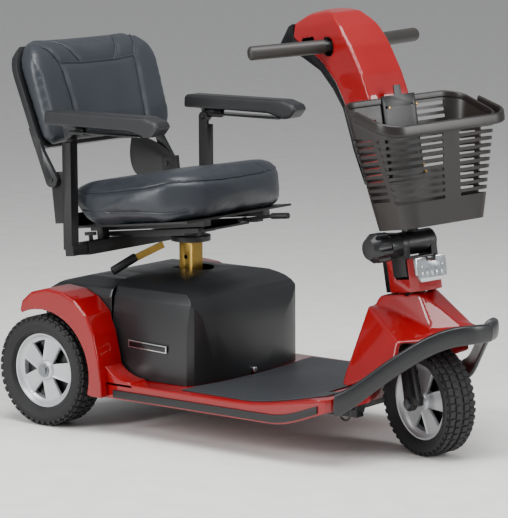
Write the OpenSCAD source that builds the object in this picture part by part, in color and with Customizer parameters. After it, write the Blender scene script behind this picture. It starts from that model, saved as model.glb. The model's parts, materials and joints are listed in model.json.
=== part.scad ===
// Three-wheel mobility scooter with a swivelling seat, a tilting tiller and a front basket.
// Millimetres. +X is forward, +Y is the rider's left, +Z is up, and the ground is z = 0.

/* [Wheels] */
// Rear tyre diameter
rear_tyre_d = 254; // [250:1:256]
// Rear tyre width
rear_tyre_w = 76; // [72:1:77]
// Distance between the middles of the rear tyres
wheel_track = 508; // [506:1:510]
// Front tyre diameter
front_tyre_d = 240; // [236:1:242]
// Front tyre width
front_tyre_w = 74; // [70:1:76]
// Diameter of the rims' outer lip
rim_lip_d = 172; // [168:1:174]
// Rear axle, along the length
rear_axle_x = -448; // [-450:1:-446]

/* [Steering] */
// Where the steering axis meets the ground
steer_ground_x = 445; // [443:1:447]
// Lean of the steering axis, in degrees
steer_rake = 9.2; // [8.8:0.1:9.6]
// How far the front wheel stands turned to the right
steer_turn = 18; // [16:1:20]
// Front axle behind the steering axis
axle_offset = 4; // [2:1:6]

/* [Tiller] */
// Tilt pivot, ahead of the steering axis
tilt_u = 12; // [10:1:14]
// Tilt pivot, height along the steering axis
tilt_w = 466; // [465:1:468]
// Half length of the handlebar
bar_half = 218; // [216:1:220]
// Height of the handlebar along the steering axis
bar_w = 914; // [912:1:916]
// Backward sweep of each handlebar half, in degrees
bar_sweep = 15; // [13:1:16]
// Width of the basket at its rim
basket_rim_w = 326; // [320:1:330]

/* [Deck] */
// Half width of the deck
deck_half_w = 262; // [261:1:263]
// Height of the deck's top where it is level
deck_top_z = 119; // [119:1:120]
// Rise of the deck towards the front
deck_rise = 36; // [35:1:37]
// Half width of the battery cover
cover_half_w = 204; // [203:1:205]

/* [Seat] */
// Seat post, along the length
seat_x = -240; // [-241:1:-239]
// Height of the swivel plate
seat_z = 440; // [439:1:441]
// Tilt of the seat, in degrees
seat_tilt = 6.5; // [6:0.5:7]
// Lean of the backrest, in degrees
back_lean = 22; // [21:1:23]
// Distance between the middles of the armrests
arm_spacing = 486; // [484:2:490]

/* [Hidden] */
$fn = 64;

rear_r = rear_tyre_d / 2;
front_r = front_tyre_d / 2;
track_half = wheel_track / 2;
lip_r = rim_lip_d / 2;
bead_r = lip_r - 6;
tread_flat = 14;
running = 0.05;

// The turned front wheel leans a little, so its axle height is worked out from the tread's lowest edge.
wheel_lean = asin(sin(steer_rake) * sin(steer_turn));
axle_z = front_r * cos(wheel_lean) + tread_flat * sin(wheel_lean);
axle_w = (axle_z + axle_offset * cos(steer_turn) * sin(steer_rake)) / cos(steer_rake);

steerer_r = 14;
head_bore_r = 21;
head_low_w = 268;
head_top_w = 346;
column_low_w = 362;
shaft_r = 9.5;
front_axle_r = 8;
tilt_bolt_r = 8;
barrel_r = 26;
post_side = 38;
frame_low = 86;
frame_top = 115.8;
skin = 3;

red = "#a3141c";
black = "#222222";
gloss_black = "#151515";
silver = "#c9ccd0";
gold = "#c9a45c";
rubber = "#2b2b2b";
vinyl = "#3b3d40";

// ---------- helpers ----------

function ease(t) = t <= 0 ? 0 : (t >= 1 ? 1 : t * t * (3 - 2 * t));

function arc(cx, cy, r, from, to, steps) =
  [for (i = [0:steps]) let (a = from + (to - from) * i / steps) [cx + r * cos(a), cy + r * sin(a)]];

function rounded(x0, y0, x1, y1, r) = concat(
  arc(x1 - r, y1 - r, r, 0, 90, 6), arc(x0 + r, y1 - r, r, 90, 180, 6),
  arc(x0 + r, y0 + r, r, 180, 270, 6), arc(x1 - r, y0 + r, r, 270, 360, 6));

// The mirror image of a half outline, added to it so that the outline closes.
function mirrored(half) = concat(half, [for (i = [len(half) - 1:-1:0]) [half[i][0], -half[i][1]]]);

module box(low, high) {
  translate(low) cube(high - low);
}

module both_sides() {
  children();
  mirror([0, 1, 0]) children();
}

// A cylinder across the scooter, from y0 to y1.
module across(x, z, r, y0, y1) {
  translate([x, y1, z]) rotate([90, 0, 0]) cylinder(r = r, h = y1 - y0);
}

module rod(from, to, r) {
  v = to - from;
  translate(from) rotate([0, acos(v[2] / norm(v)), atan2(v[1], v[0])]) cylinder(r = r, h = norm(v));
}

module bar(from, to, w, t) {
  v = to - from;
  translate(from) rotate([0, acos(v[2] / norm(v)), atan2(v[1], v[0])])
    translate([-w / 2, -t / 2, 0]) cube([w, t, norm(v)]);
}

// A side outline of [x, z] points, extruded across from y0 to y1.
module side_profile(points, y0, y1) {
  translate([0, y1, 0]) rotate([90, 0, 0]) linear_extrude(y1 - y0) polygon(points);
}

// A front outline of [y, z] points, extruded along from x0 to x1.
module front_profile(points, x0, x1) {
  translate([x0, 0, 0]) rotate([90, 0, 90]) linear_extrude(x1 - x0) polygon(points);
}

module plan_profile(points, z0, z1) {
  translate([0, 0, z0]) linear_extrude(z1 - z0) polygon(points);
}

// The frame of the steering axis: u forward, v left, w along the axis.
module steered() {
  translate([steer_ground_x, 0, 0]) rotate([0, -steer_rake, 0]) rotate([0, 0, -steer_turn]) children();
}

module raked() {
  translate([steer_ground_x, 0, 0]) rotate([0, -steer_rake, 0]) children();
}

// The frame of the seat: s forward, t left, n up from the swivel plate.
module seated() {
  translate([seat_x, 0, seat_z]) rotate([0, -seat_tilt, 0]) children();
}

// ---------- wheels, about the Z axis with the outer face towards +Z ----------

module tyre_shape(r, w) {
  h = w / 2;
  rotate_extrude($fn = 128) polygon([
    [bead_r, -20], [lip_r, -20], [lip_r, -27], [lip_r + 5, -h + 3], [lip_r + 18, -h], [r - 10, -h + 1],
    [r - 4, -h + 5], [r - 1, -h + 13], [r, -tread_flat], [r, tread_flat], [r - 1, h - 13], [r - 4, h - 5],
    [r - 10, h - 1], [lip_r + 18, h], [lip_r + 5, h - 3], [lip_r, 27], [lip_r, 20], [bead_r, 20]
  ]);
}

module rim_shape(bore_r) {
  spokes = 5;
  difference() {
    union() {
      rotate_extrude($fn = 96) polygon([
        [bead_r - 5, -26], [lip_r - 0.2, -26], [lip_r - 0.2, -20.2], [bead_r - 0.2, -20.2],
        [bead_r - 0.2, 20.2], [lip_r - 0.2, 20.2], [lip_r - 0.2, 25], [lip_r - 4, 26], [bead_r - 5, 22]
      ]);
      translate([0, 0, 8]) cylinder(r = bead_r - 4, h = 12);
      translate([0, 0, -30]) cylinder(r = 24, h = 54);
    }
    for (i = [0:spokes - 1]) rotate([0, 0, i * 360 / spokes + 36]) translate([0, 0, -1])
      linear_extrude(40) polygon([[33, -6], [68, -21], [71, -10], [72, 0], [71, 10], [68, 21], [33, 6]]);
    translate([0, 0, -40]) cylinder(r = bore_r, h = 80);
  }
}

module on_front_wheel() {
  steered() translate([-axle_offset, 0, axle_w]) rotate([90, 0, 0]) children();
}

// side is -1 for the right wheel and 1 for the left one.
module on_rear_wheel(side) {
  translate([rear_axle_x, side * track_half, rear_r]) rotate([-side * 90, 0, 0]) children();
}

module front_tyre() {
  color(rubber) on_front_wheel() tyre_shape(front_r, front_tyre_w);
}

module front_rim() {
  color(silver) on_front_wheel() difference() {
    rim_shape(13);
    translate([0, 0, 16.5]) cylinder(r = 17, h = 20);
    translate([0, 0, -40]) cylinder(r = 17, h = 20);
  }
}

module front_bearings() {
  color(silver) on_front_wheel() for (z = [-20, 7.5]) translate([0, 0, z]) difference() {
    cylinder(r = 12.9, h = 9);
    translate([0, 0, -1]) cylinder(r = front_axle_r + running, h = 11);
  }
}

module rear_tyre_right() {
  color(rubber) on_rear_wheel(-1) tyre_shape(rear_r, rear_tyre_w);
}

module rear_tyre_left() {
  color(rubber) on_rear_wheel(1) tyre_shape(rear_r, rear_tyre_w);
}

module rear_rim_right() {
  color(silver) on_rear_wheel(-1) rim_shape(shaft_r);
}

module rear_rim_left() {
  color(silver) on_rear_wheel(1) rim_shape(shaft_r);
}

// A shaft from the gearbox out through the hub, with its nut and washer.
module axle_shaft() {
  across(rear_axle_x, rear_r, shaft_r - 0.02, 64, track_half + 30);
  difference() {
    across(rear_axle_x, rear_r, 15, track_half + 24.2, track_half + 27);
    across(rear_axle_x, rear_r, shaft_r - 0.02, track_half + 20, track_half + 34);
  }
}

module axle_shaft_right() {
  color(silver) mirror([0, 1, 0]) axle_shaft();
}

module axle_shaft_left() {
  color(silver) axle_shaft();
}

// ---------- chassis ----------

rail_y = 105;
rail_rear_x = -426;
rail_front_x = 268;
ring_x = 345;
ring_y = 200;
ring_z = 111;

module head_tube_bore() {
  raked() translate([0, 0, head_low_w - 20]) cylinder(r = head_bore_r, h = 160);
}

// A wire ring on a strap under the deck, for tying the scooter down in a van.
module tie_down_ring() {
  translate([ring_x, ring_y, ring_z]) rotate([90, 0, 0]) rotate_extrude() translate([12, 0]) circle(r = 2.6, $fn = 8);
  bar([244, 186, 105], [ring_x + 4, ring_y, ring_z + 13], 16, 4);
}

module main_frame() {
  color(black) difference() {
    union() {
      both_sides() box([rail_rear_x, rail_y - 15, frame_low], [rail_front_x, rail_y + 15, frame_top]);
      both_sides() box([-476, rail_y - 6, frame_low], [rail_rear_x + 8, rail_y + 6, 154]);
      for (x = [-262, 238]) box([x, -rail_y + 15, frame_low], [x + 30, rail_y - 15, frame_top]);
      both_sides() box([250, 84, frame_low - 2], [309, 108, 100]);
      both_sides() bar([300, 96, 98], [321, 53, 280], 24, 24);
      box([306, -58, 268], [330, 58, 284]);
      box([306, -13, 268], [382, 13, 300]);
      raked() translate([0, 0, head_low_w]) cylinder(r = 26, h = head_top_w - head_low_w);
      both_sides() box([240, rail_y + 15, 98], [262, 194, 112]);
      both_sides() tie_down_ring();
    }
    head_tube_bore();
    across(rear_axle_x, rear_r, 22, -200, 200);
  }
}

module steering_bearings() {
  color(silver) for (w = [head_low_w, head_top_w - 12]) raked() translate([0, 0, w]) difference() {
    cylinder(r = head_bore_r, h = 12);
    translate([0, 0, -1]) cylinder(r = steerer_r + running, h = 14);
  }
}

function deck_top(x) = deck_top_z + deck_rise * ease((x - 100) / 290);
function deck_low(x) = 82 + 55 * ease((x - 190) / 220);

deck_rear_x = -300;
deck_front_x = 372;
deck_step = 24;
notch_half = 136;
deck_stations = [for (x = [deck_rear_x:deck_step:deck_front_x]) x];

// The deck's side outline, between its low edge raised by low_up and its top raised by top_up.
function deck_side(low_up, top_up) = concat(
  [for (x = deck_stations) [x, deck_low(x) + low_up]],
  [for (i = [len(deck_stations) - 1:-1:0]) [deck_stations[i], deck_top(deck_stations[i]) + top_up]]);

// The deck's plan, shrunk by t all round except at its rear, where the inside runs out of the open end.
function deck_plan(t) = mirrored([
  [deck_rear_x - 4 * t, 0], [deck_rear_x - 4 * t, deck_half_w - t], [318, deck_half_w - t],
  [334 - t, deck_half_w - 4 - t], [345 - t, deck_half_w - 16 - t], [345 - t, 222 - t],
  [deck_front_x - t, 204 - t], [deck_front_x - t, notch_half + 10 + t], [deck_front_x - 12 - t, notch_half + t],
  [290 - t, notch_half + t], [282 - t, notch_half - 8 + t], [282 - t, 0]
]);

module floor_pan() {
  color(red) difference() {
    intersection() {
      side_profile(deck_side(0, 0), -300, 300);
      plan_profile(deck_plan(0), 0, 300);
    }
    intersection() {
      translate([-6, 0, 0]) side_profile(deck_side(-60, -skin), -300, 300);
      plan_profile(deck_plan(skin), 0, 300);
    }
    translate([seat_x - 31, -31, 100]) cube([62, 62, 40]);
  }
}

module floor_mat() {
  color(rubber) intersection() {
    difference() {
      side_profile(deck_side(20, 3.2), -300, 300);
      side_profile(deck_side(-60, 0.1), -300, 300);
    }
    plan_profile(mirrored([[-52, 0], [-57, 120], [-70, 196], [-72, 240], [120, 244], [240, 236], [308, 212],
      [312, 170], [262, 150], [258, 0]]), 0, 300);
  }
}

strip_step = 30;
strip_stations = [for (x = [-252:strip_step:318]) x];

module side_strips() {
  low = [for (x = strip_stations) [x, deck_low(x) + 4]];
  high = [for (i = [len(strip_stations) - 1:-1:0]) [strip_stations[i], deck_low(strip_stations[i]) + 21]];
  color(rubber) both_sides() side_profile(concat(low, high), deck_half_w + 0.1, deck_half_w + 5);
}

// The shroud over the front wheel, shrunk on every side by t.
module shroud_body(t) {
  hull() both_sides() {
    translate([280 + t, 0, 146]) cube([1, 128 - t, 1]);
    translate([284 + t, 0, 180]) cube([1, 118 - t, 1]);
    translate([302 + t, 0, 321 - t]) cube([1, 58 - t, 1]);
    translate([425, 0, 206]) cube([1, 146 - t, 1]);
    translate([430, 0, 266 - t]) cube([1, 132 - t, 1]);
    translate([512 - t, 0, 266]) cube([1, 70 - t, 8 - t]);
    translate([548 - t, 0, 270]) cube([1, 28 - t, 16 - t]);
    translate([520 - t, 0, 300 - t]) cube([1, 6, 1]);
  }
}

module shroud_neck(t) {
  hull() both_sides() {
    translate([300 + t, 0, 300]) cube([1, 44 - t, 1]);
    translate([310 + t, 0, 334 - t]) cube([1, 34 - t, 1]);
    translate([334 + t, 0, 358 - t]) cube([1, 34 - t, 1]);
    translate([416 - t, 0, 362 - t]) cube([1, 31 - t, 1]);
    translate([470 - t, 0, 290]) cube([1, 58 - t, 1]);
    translate([516 - t, 0, 296 - t]) cube([1, 22 - t, 1]);
  }
}

module front_shroud() {
  color(red) difference() {
    union() {
      shroud_body(0);
      shroud_neck(0);
    }
    shroud_body(4);
    shroud_neck(4);
    raked() translate([0, 0, -40]) cylinder(r = 133, h = 205.1);
    raked() translate([0, 0, 165]) cylinder(r1 = 133, r2 = 98, h = 95);
    box([436, -200, 100], [700, 200, 262]);
    box([200, -134, 100], [440, 134, 150]);
    box([250, -300, 100], [600, 300, 156]);
    raked() translate([0, 0, 330]) cylinder(r = 34, h = 60);
    raked() box([-200, -200, column_low_w - 2], [200, 200, 500]);
  }
}

// Half of the bumper's path, from the deck to the nose: [x, y, z].
bumper_path = [[364, 248, 141], [388, 226, 166], [444, 173, 226], [496, 120, 268], [536, 84, 286],
  [572, 44, 284], [582, 0, 280]];
bumper_h = 33;
bumper_t = 20;

module bumper_stop(p) {
  translate(p) rotate([0, 0, p[1] == 0 ? 0 : atan2(p[1], p[0] - 300) * 0.8]) translate([-bumper_t / 2, 0, -bumper_h / 2]) {
    cylinder(r = bumper_t / 2 - 2, h = bumper_h, $fn = 20);
    translate([0, 0, 6]) cylinder(r = bumper_t / 2 + 2, h = bumper_h - 12, $fn = 20);
  }
}

module front_bumper() {
  color(black) both_sides() for (i = [0:len(bumper_path) - 2]) hull() {
    bumper_stop(bumper_path[i]);
    bumper_stop(bumper_path[i + 1]);
  }
}

// The battery cover's solid, shrunk by t; a shell is the difference of two of them.
module cover_solid(t) {
  c = cover_half_w - t;
  intersection() {
    side_profile([[-308 + t, 60], [-308 + t, 341 - t], [-270, 351 - t], [-215, 354 - t], [-160, 346 - t],
      [-118, 330 - t], [-92 - t, 312 - t], [-78 - t, 290], [-68 - t, 250], [-58 - t, 140], [-56 - t, 60]], -300, 300);
    front_profile([[-c, 60], [-c + 6, 250], [-c + 12, 300], [-c + 24, 322 - t], [-c + 48, 336 - t], [-100, 347 - t],
      [0, 356 - t], [100, 347 - t], [c - 48, 336 - t], [c - 24, 322 - t], [c - 12, 300], [c - 6, 250], [c, 60]],
      -400, 100);
    plan_profile(mirrored([[-308 + t, 0], [-308 + t, c], [-112, c], [-92, c - 5], [-80, c - 18], [-73 - t, c - 40],
      [-66 - t, 120], [-60 - t, 60], [-58 - t, 0]]), 0, 400);
  }
}

module battery_cover() {
  color(black) difference() {
    cover_solid(0);
    cover_solid(skin);
    box([-400, -300, 0], [0, 300, deck_top_z + 0.5]);
    translate([seat_x - 10, 0, 300]) cylinder(r = 42, h = 100);
    translate([seat_x + 14, 0, 300]) cylinder(r = 42, h = 100);
    translate([-80, 0, 116]) rotate([0, 90, 0]) cylinder(r = 12, h = 40);
  }
}

module rear_shroud() {
  outer = [[-308.5, 120], [-308.5, 340], [-360, 341], [-420, 334], [-470, 321], [-500, 303], [-512, 272],
    [-514, 220], [-506, 160], [-500, 120]];
  inner = [[-300, 100], [-300, 337], [-360, 338], [-419, 331], [-469, 318], [-497, 301], [-509, 271],
    [-511, 220], [-503, 160], [-497, 100]];
  color(black) difference() {
    intersection() {
      side_profile(outer, -200, 200);
      front_profile([[-200, 100], [-200, 300], [-192, 318], [-150, 334], [0, 344], [150, 334], [192, 318],
        [200, 300], [200, 100]], -600, -300);
    }
    intersection() {
      side_profile(inner, -197, 197);
      front_profile([[-197, 90], [-197, 299], [-189, 316], [-149, 331], [0, 341], [149, 331], [189, 316],
        [197, 299], [197, 90]], -600, -200);
    }
    across(rear_axle_x, rear_r, 30, -300, 300);
    box([rear_axle_x - 30, -300, 90], [rear_axle_x + 30, 300, rear_r]);
    box([-540, -96, 200], [-490, -68, 290]);
    box([-330, -90, 100], [-290, 90, 160]);
  }
}

fender_outer = [[-512, 262], [-506, 283], [-478, 306], [-432, 318], [-385, 314], [-345, 298], [-312, 268],
  [-292, 226], [-279, 170], [-272, 120], [-270, 84]];

module rear_fenders() {
  color(red) both_sides() difference() {
    side_profile(concat(fender_outer, [[-300, 84], [-448, 127]]), 200.5, 286);
    side_profile(concat([for (p = fender_outer) [p[0] * 0.985 - 10, p[1] - 3.5]],
      [[-296, 60], [-448, 60], [-560, 200]]), 199, 282.5);
    across(rear_axle_x, rear_r, 141, 100, 400);
    box([-600, 100, 0], [rear_axle_x, 400, 250]);
    box([-292, 190, 0], [-200, 262.4, deck_top_z + 0.2]);
    box([-320, 190, 60], [-300.2, 262, deck_top_z + 0.2]);
    box([-305, 100, 60], [-268, 262.4, deck_top_z + 0.2]);
    box([-308.4, 190, 60], [-200, cover_half_w + 0.4, 400]);
  }
}

module battery_pack() {
  color(gloss_black) both_sides() {
    box([-205, 10, deck_top_z + 0.3], [-92, 186, deck_top_z + 158]);
    for (y = [40, 156]) translate([-180, y, deck_top_z + 158]) cylinder(r = 8, h = 10);
  }
}

module controller() {
  color(silver) difference() {
    box([-298, 70, deck_top_z + 0.3], [-216, 176, deck_top_z + 52]);
    for (y = [84:12:164]) box([-300, y, deck_top_z + 36], [-214, y + 5, deck_top_z + 60]);
  }
}

module transaxle() {
  color("#8a8d90") difference() {
    union() {
      across(rear_axle_x, rear_r, 47, -52, 52);
      both_sides() across(rear_axle_x, rear_r, 22, 50, 206);
      rod([rear_axle_x + 40, 0, rear_r], [rear_axle_x + 66, 0, rear_r], 36);
      bar([rear_axle_x - 4, lever_pin[1] + 13, rear_r + 14], lever_pin + [-2, 13, 8], 22, 6);
      across(lever_pin[0], lever_pin[2], lever_pin_r, lever_pin[1] - 10, lever_pin[1] + 14);
    }
    across(rear_axle_x, rear_r, shaft_r + running, -210, 210);
  }
}

module drive_motor() {
  color(black) union() {
    rod([rear_axle_x + 66, 0, rear_r], [-318, 0, rear_r], 41);
    rod([-318, 0, rear_r], [-310, 0, rear_r], 30);
  }
}

module seat_tower() {
  color(black) difference() {
    box([seat_x - 30, -30, frame_top], [seat_x + 30, 30, 330]);
    translate([seat_x, 0, 240]) cube([post_side + 0.12, post_side + 0.12, 230], center = true);
  }
}

module tail_lights() {
  color("#8c0f12") both_sides() box([-520, 112, 226], [-514.1, 172, 256]);
}

lever_pin = [-486, -82, 214];
lever_pin_r = 4;

module freewheel_lever() {
  color("#d8a21c") difference() {
    union() {
      across(lever_pin[0], lever_pin[2], 8, lever_pin[1] - 8, lever_pin[1] + 8);
      bar(lever_pin + [-4, 0, 4], lever_pin + [-44, 0, 44], 7, 10);
      rod(lever_pin + [-42, 0, 42], lever_pin + [-56, 0, 56], 9);
    }
    across(lever_pin[0], lever_pin[2], lever_pin_r + running, lever_pin[1] - 20, lever_pin[1] + 20);
  }
}

// ---------- steering column ----------

leg_v = 44;
leg_t = 11;

module fork() {
  color(gloss_black) steered() difference() {
    union() {
      translate([0, 0, 262]) cylinder(r = steerer_r, h = 140);
      box([-20, -leg_v - leg_t, 249], [22, leg_v + leg_t, 263]);
      both_sides() {
        box([-18, leg_v, axle_w], [10, leg_v + leg_t, 256]);
        across(-axle_offset, axle_w, 17, leg_v, leg_v + leg_t);
        rod([30, leg_v + 6, axle_w + 6], [18, leg_v + 6, 252], 7);
        box([-4, leg_v + 1, axle_w - 4], [36, leg_v + 10, axle_w + 14]);
        box([-12, 29, 400], [36, 45, tilt_w]);
        across(tilt_u, tilt_w, barrel_r, 29, 45);
      }
      translate([0, 0, head_top_w + 1]) cylinder(r = 26, h = 9);
      translate([0, 0, 355]) cylinder(r = 20, h = 48);
      box([-12, -45, 396], [36, 45, 436]);
    }
    across(-axle_offset, axle_w, front_axle_r, -80, 80);
    across(tilt_u, tilt_w, tilt_bolt_r + running, -80, 80);
  }
}

module front_axle() {
  color(silver) steered() union() {
    across(-axle_offset, axle_w, front_axle_r, -leg_v - leg_t - 8, leg_v + leg_t + 8);
    both_sides() across(-axle_offset, axle_w, 11, leg_v + leg_t, leg_v + leg_t + 6);
    both_sides() difference() {
      across(-axle_offset, axle_w, 11, 25, leg_v);
      across(-axle_offset, axle_w, front_axle_r, 20, 50);
    }
  }
}

function column_plan(t) = mirrored([[64 - t, 0], [63 - t, 14], [56 - t, 30 - t], [40, 42 - t], [-38, 40 - t]]);

module column_cover() {
  color(red) steered() difference() {
    plan_profile(column_plan(0), column_low_w, 434);
    difference() {
      translate([0, 0, 340]) linear_extrude(200) polygon(column_plan(3));
      box([-12, -60, 396], [0, 60, 400]);
    }
    box([-100, -36, 300], [-30, 36, 500]);
    across(tilt_u, tilt_w, barrel_r + 3, -80, 80);
    box([-13, -46, 390], [37, 46, 500]);
  }
}

module column_back_cover() {
  color(gloss_black) steered() difference() {
    box([-62, -34, column_low_w], [-22, 34, 432]);
    box([-58, -30, 300], [-10, 30, 500]);
  }
}

module headlight_housing() {
  color(silver) steered() difference() {
    hull() {
      box([58, -40, 398], [68, 40, 434]);
      box([58, -29, 381], [64, 29, 384]);
    }
    box([66, -37, 388], [80, 37, 431]);
    box([60, -13, 424], [80, 13, 440]);
    plan_profile(column_plan(-0.2), 300, 500);
  }
}

module headlight_lens() {
  color("#e8eef2", 0.6) steered() difference() {
    box([66, -36.8, 389], [69.5, 36.8, 430.8]);
    box([60, -13.2, 423.8], [80, 13.2, 440]);
  }
}

// ---------- tiller ----------

bar_root_u = -124;
bar_drop = 6;
bar_r = 12.5;
stem_bend = [-48, 0, 762];
bracket_u = 24;
bracket_arms = [654, 738];
throttle_u = -205;
throttle_pin_r = 4;

module tiller_tube() {
  color(black) steered() difference() {
    union() {
      across(tilt_u, tilt_w, barrel_r, -28.7, 28.7);
      rod([tilt_u, 0, tilt_w], stem_bend, 18);
      rod(stem_bend, [bar_root_u, 0, bar_w - 4], 17);
      translate(stem_bend) sphere(r = 19);
      box([bar_root_u - 17, -11, bar_w - 20], [bar_root_u + 20, 11, bar_w + 17]);
      box([throttle_u - 10, -11, bar_w + 12.5], [bar_root_u, 11, bar_w + 17]);
      translate([throttle_u, 0, bar_w - 6]) cylinder(r = throttle_pin_r, h = 20);
    }
    across(tilt_u, tilt_w, tilt_bolt_r + running, -80, 80);
    across(bar_root_u, bar_w - bar_drop, bar_middle_r, -40, 40);
  }
}

bar_middle_r = 13.2;
bar_from = [bar_root_u, 22, bar_w - bar_drop];
bar_to = [bar_root_u - bar_half * tan(bar_sweep), bar_half, bar_w];
bar_length = norm(bar_to - bar_from);

// The frame of the handlebar's left half: z runs out along it from the straight middle.
module along_bar() {
  v = (bar_to - bar_from) / bar_length;
  translate(bar_from) rotate([0, acos(v[2]), atan2(v[1], v[0])]) children();
}

module handlebar() {
  color(black) steered() union() {
    across(bar_root_u, bar_w - bar_drop, bar_middle_r, -34, 34);
    both_sides() along_bar() cylinder(r = bar_r, h = bar_length);
  }
}

module grips() {
  grip_r = 15.5;
  grip_end = bar_length + 9;
  color(rubber) steered() both_sides() along_bar() rotate_extrude() polygon(concat(
    [[bar_r, 42], [grip_r, 42]], arc(grip_r - 7, grip_end - 7, 7, 0, 90, 5),
    [[0, grip_end], [0, bar_length], [bar_r, bar_length]]));
}

// Side outline of the tiller head: the front and top line, then the underside line.
head_front = [[22, 600], [8, 700], [-5, 790], [-20, 838], [-50, 900], [-84, 948], [-122, 980], [-162, 991],
  [-206, 989], [-262, 972]];
head_split = [[-262, 938], [-210, 908], [-160, 872], [-120, 826], [-98, 780], [-84, 700], [-66, 600]];
head_back = [[-262, 905], [-232, 890], [-176, 858], [-138, 815], [-110, 770], [-95, 700], [-78, 600]];

module head_width(t) {
  h = 55 - t;
  front_profile([[-h + 10, 590], [-h, 680], [-h, 930], [-h + 6, 960], [-h + 18, 984 - t], [-h + 34, 992 - t],
    [h - 34, 992 - t], [h - 18, 984 - t], [h - 6, 960], [h, 930], [h, 680], [h - 10, 590]], -400, 100);
}

module tiller_cover() {
  color(red) steered() difference() {
    intersection() {
      side_profile(concat(head_front, head_split), -60, 60);
      head_width(0);
    }
    intersection() {
      side_profile(concat([for (p = head_front) p - [3, 3]], [[-270, 969], [-270, 930]],
        [for (p = head_split) p - [4, 4]], [[-60, 590], [19, 590]]), -60, 60);
      head_width(skin);
    }
    across(bar_root_u - 8, bar_w - bar_drop, 19, -80, 80);
    for (w = bracket_arms) box([-20, -12.3, w - 14.3], [40, 12.3, w + 14.3]);
    both_sides() box([throttle_u - 22, 40, bar_w - 9], [throttle_u + 22, 70, bar_w + 18]);
  }
}

module tiller_back_cover() {
  color(gloss_black) steered() difference() {
    intersection() {
      side_profile(concat([for (p = head_split) p - [0.3, 0.3]], [for (i = [len(head_back) - 1:-1:0]) head_back[i]]),
        -52, 52);
      head_width(3.2);
    }
    side_profile(concat([for (p = head_split) p + [4, 6]], [for (i = [len(head_back) - 1:-1:0]) head_back[i] + [3, 4]]),
      -48, 48);
    across(bar_root_u - 8, bar_w - bar_drop, 19, -80, 80);
  }
}

dash_low = [-334, 918];
dash_high = [-278, 966];
dash_angle = atan2(dash_high[1] - dash_low[1], dash_high[0] - dash_low[0]);

// The sloping dash: x up the slope, z out of it towards the rider.
module on_dash() {
  translate([(dash_low[0] + dash_high[0]) / 2, 0, (dash_low[1] + dash_high[1]) / 2])
    rotate([0, -dash_angle, 0]) children();
}

module console() {
  color(gloss_black) steered() difference() {
    side_profile([dash_low, [-326, 904], [-262.3, 904], [-262.3, 970], dash_high], -50, 50);
    for (y = [-26, 4, 30]) on_dash() translate([0, y, -12]) cylinder(r = 5 + running, h = 20);
  }
}

module speed_dial() {
  color(black) steered() on_dash() translate([0, 4, 0]) union() {
    translate([0, 0, 0.5]) cylinder(r = 12, h = 10);
    translate([0, 0, -11]) cylinder(r = 5, h = 12);
    translate([4, -1, 10]) cube([8, 2, 1.2]);
  }
}

module ignition_key() {
  color(silver) steered() on_dash() translate([0, -26, 0]) union() {
    translate([0, 0, -11]) cylinder(r = 5, h = 15);
    translate([0, 0, 2]) rotate([90, 0, 0]) translate([0, 9, -1.5]) cylinder(r = 9, h = 3);
  }
}

module horn_button() {
  color("#c9c12a") steered() on_dash() translate([0, 30, 0]) union() {
    translate([0, 0, -8]) cylinder(r = 5, h = 9);
    translate([0, 0, 3.5]) cylinder(r = 7, h = 4);
    cylinder(r = 4, h = 5);
  }
}

// The drive lever rocks on an upright pin, and a finger pad sits at each of its ends.
module throttle_lever() {
  color(black) steered() difference() {
    union() {
      translate([throttle_u, 0, bar_w - 4]) cylinder(r = 10, h = 16);
      box([throttle_u - 4, -112, bar_w], [throttle_u + 4, 112, bar_w + 8]);
      both_sides() translate([throttle_u, 112, bar_w - 2]) cylinder(r = 9, h = 13);
    }
    translate([throttle_u, 0, bar_w - 20]) cylinder(r = throttle_pin_r + running, h = 50);
  }
}

module basket_bracket() {
  color(black) steered() difference() {
    union() {
      box([bracket_u, -44, 600], [bracket_u + 3, 44, 785]);
      box([bracket_u, -9, 780], [bracket_u + 3, 9, 806]);
      box([-26, -12, bracket_arms[0] - 14], [bracket_u, 12, bracket_arms[0] + 14]);
      box([-43, -12, bracket_arms[1] - 14], [bracket_u, 12, bracket_arms[1] + 14]);
    }
    rod([tilt_u, 0, tilt_w], stem_bend, 18.2);
    for (v = [-34, 34]) for (w = [620, 760]) translate([bracket_u - 5, v, w]) rotate([0, 90, 0]) cylinder(r = 3, h = 12);
  }
}

module tilt_knob() {
  color(black) steered() union() {
    across(tilt_u, tilt_w, tilt_bolt_r, -60, 52);
    difference() {
      union() {
        translate([tilt_u, -46, tilt_w]) rotate([90, 0, 0]) cylinder(r1 = 27, r2 = 31, h = 30);
        translate([tilt_u, -76, tilt_w]) rotate([90, 0, 0]) cylinder(r = 33, h = 28);
        translate([tilt_u, -104, tilt_w]) rotate([90, 0, 0]) cylinder(r1 = 33, r2 = 22, h = 16);
      }
      for (i = [0:7]) translate([tilt_u, -76, tilt_w]) rotate([0, i * 45, 0])
        translate([38, 0, 0]) rotate([90, 0, 0]) cylinder(r = 10, h = 60);
    }
    across(tilt_u, tilt_w, 14, 45.5, 55);
  }
}

// ---------- basket ----------

basket_low = 508;
basket_rear = 28;

module basket_solid(t) {
  half = basket_rim_w / 2 - t;
  hull() {
    translate([0, 0, basket_low + t]) linear_extrude(0.1)
      polygon(rounded(basket_rear + t, -104 + t, 150 - t, 104 - t, 30));
    translate([0, 0, 800]) linear_extrude(0.1)
      polygon(rounded(basket_rear + t, -half - 4, 196 - t, half + 4, 46));
  }
}

// Cuts the rim: high at the back and lower at the front.
module above_rim() {
  translate([basket_rear - 10, -300, 784]) rotate([0, 22, 0]) cube([400, 600, 300]);
}

module slot_row(count, low, pitch) {
  for (i = [0:count - 1]) translate([0, 0, low + i * pitch]) children();
}

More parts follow.
